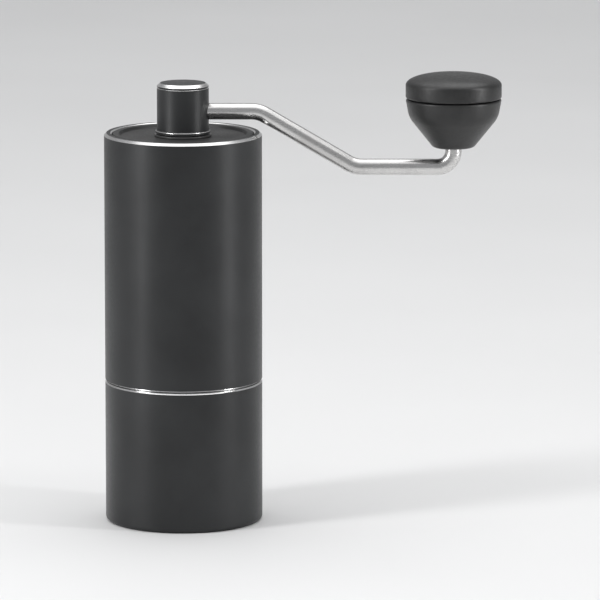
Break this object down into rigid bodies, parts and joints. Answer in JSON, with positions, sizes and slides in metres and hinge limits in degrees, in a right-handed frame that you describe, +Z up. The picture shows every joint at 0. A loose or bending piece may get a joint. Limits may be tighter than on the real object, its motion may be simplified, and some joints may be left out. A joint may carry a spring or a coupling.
{
  "type": "hand crank coffee grinder",
  "caption": "Slim cylindrical hand coffee grinder with a lift-off lid, a bent crank arm with a spinning knob, conical burrs and a screw-on grounds catcher.",
  "frame": {"origin": "centre of the catcher's flat base", "axes": "+Z up along the shaft, +X along the crank arm towards the knob"},
  "size_m": [0.1307, 0.052, 0.1492],
  "materials": {
    "black_anodised": "satin black anodised",
    "bare_aluminium": "machined",
    "stainless": "brushed",
    "burr_steel": "hardened, ground",
    "bearing_steel": "polished",
    "spring_steel": "plain",
    "black_plastic": "moulded, matte",
    "knob_plastic": "moulded, satin",
    "acetal": "turned",
    "silicone": "matte"
  },
  "bodies": {
    "catcher": {"catcher_cup": "black_anodised"},
    "joint_seal": {"joint_seal_ring": "silicone"},
    "housing": {"body_shell": "black_anodised", "burr_carrier": "bare_aluminium", "outer_burr": "burr_steel", "burr_retaining_ring": "spring_steel", "lower_bearing_bracket": "black_plastic", "upper_bearing_bracket": "black_plastic", "bracket_screw_1": "stainless", "bracket_screw_2": "stainless", "bracket_screw_3": "stainless", "bracket_retaining_ring": "spring_steel", "upper_bearing_outer_race": "bearing_steel", "upper_bearing_lower_shield": "spring_steel", "upper_bearing_upper_shield": "spring_steel", "lower_bearing_outer_race": "bearing_steel", "lower_bearing_lower_shield": "spring_steel", "lower_bearing_upper_shield": "spring_steel"},
    "shaft": {"drive_shaft": "stainless", "lower_shaft_clip": "spring_steel", "upper_shaft_clip": "spring_steel", "spring_washer": "stainless", "burr_spring": "spring_steel", "shaft_end_screw": "stainless", "upper_bearing_inner_race": "bearing_steel", "lower_bearing_inner_race": "bearing_steel"},
    "upper_cage": {"upper_bearing_ball_cage": "bearing_steel"},
    "lower_cage": {"lower_bearing_ball_cage": "bearing_steel"},
    "burr": {"inner_burr": "burr_steel"},
    "dial": {"adjustment_dial": "bare_aluminium", "click_spring_1": "spring_steel", "click_spring_2": "spring_steel"},
    "detent_1": {"click_ball_1": "stainless"},
    "detent_2": {"click_ball_2": "stainless"},
    "lid": {"lid": "black_plastic", "lid_seal_ring": "silicone", "lid_bushing": "acetal"},
    "crank": {"crank_hub": "black_anodised", "hub_cap": "black_anodised", "arm_clamp_screw": "stainless", "hub_retaining_ring": "spring_steel", "crank_arm": "stainless", "knob_washer": "stainless", "knob_screw": "stainless"},
    "knob": {"knob_base": "knob_plastic", "knob_cap": "knob_plastic", "knob_bushing": "acetal"}
  },
  "joints": [
    {"name": "body_rise", "type": "slide", "parent": "catcher", "child": "joint_seal", "axis": [0, 0, 1], "range_m": [0, 0.01]},
    {"name": "body_unscrew", "type": "hinge", "parent": "joint_seal", "child": "housing", "pos_m": [0, 0, 0.047], "axis": [0, 0, 1], "range_deg": [0, 1440]},
    {"name": "lid_lift", "type": "slide", "parent": "housing", "child": "lid", "axis": [0, 0, 1], "range_m": [0, 0.06]},
    {"name": "crank_spin", "type": "hinge", "parent": "lid", "child": "crank", "pos_m": [0, 0, 0.12], "axis": [0, 0, 1], "continuous": true},
    {"name": "knob_spin", "type": "hinge", "parent": "crank", "child": "knob", "pos_m": [0.089, 0, 0.13], "axis": [0, 0, 1], "continuous": true},
    {"name": "shaft_spin", "type": "hinge", "parent": "housing", "child": "shaft", "pos_m": [0, 0, 0.1], "axis": [0, 0, 1], "continuous": true},
    {"name": "upper_cage_spin", "type": "hinge", "parent": "housing", "child": "upper_cage", "pos_m": [0, 0, 0.116], "axis": [0, 0, 1], "continuous": true},
    {"name": "lower_cage_spin", "type": "hinge", "parent": "housing", "child": "lower_cage", "pos_m": [0, 0, 0.0731], "axis": [0, 0, 1], "continuous": true},
    {"name": "burr_travel", "type": "slide", "parent": "shaft", "child": "burr", "axis": [0, 0, 1], "range_m": [-0.00175, 0.00133], "deforming": ["burr_spring"]},
    {"name": "dial_turn", "type": "hinge", "parent": "burr", "child": "dial", "pos_m": [0, 0, 0.041], "axis": [0, 0, 1], "range_deg": [-632, 482]},
    {"name": "click_ball_1_press", "type": "slide", "parent": "dial", "child": "detent_1", "axis": [0, 0, -1], "range_m": [0, 0.0005], "stiffness_N_per_m": 100, "deforming": ["click_spring_1"]},
    {"name": "click_ball_2_press", "type": "slide", "parent": "dial", "child": "detent_2", "axis": [0, 0, -1], "range_m": [0, 0.0005], "stiffness_N_per_m": 100, "deforming": ["click_spring_2"]}
  ],
  "couplings": [
    {"joint": "body_rise", "follows": "body_unscrew", "m_per_rad": 0.00039789},
    {"joint": "shaft_spin", "follows": "crank_spin", "ratio": 1},
    {"joint": "upper_cage_spin", "follows": "crank_spin", "ratio": 0.4224},
    {"joint": "lower_cage_spin", "follows": "crank_spin", "ratio": 0.4224},
    {"joint": "dial_turn", "follows": "burr_travel", "rad_per_m": 6283.2}
  ]
}
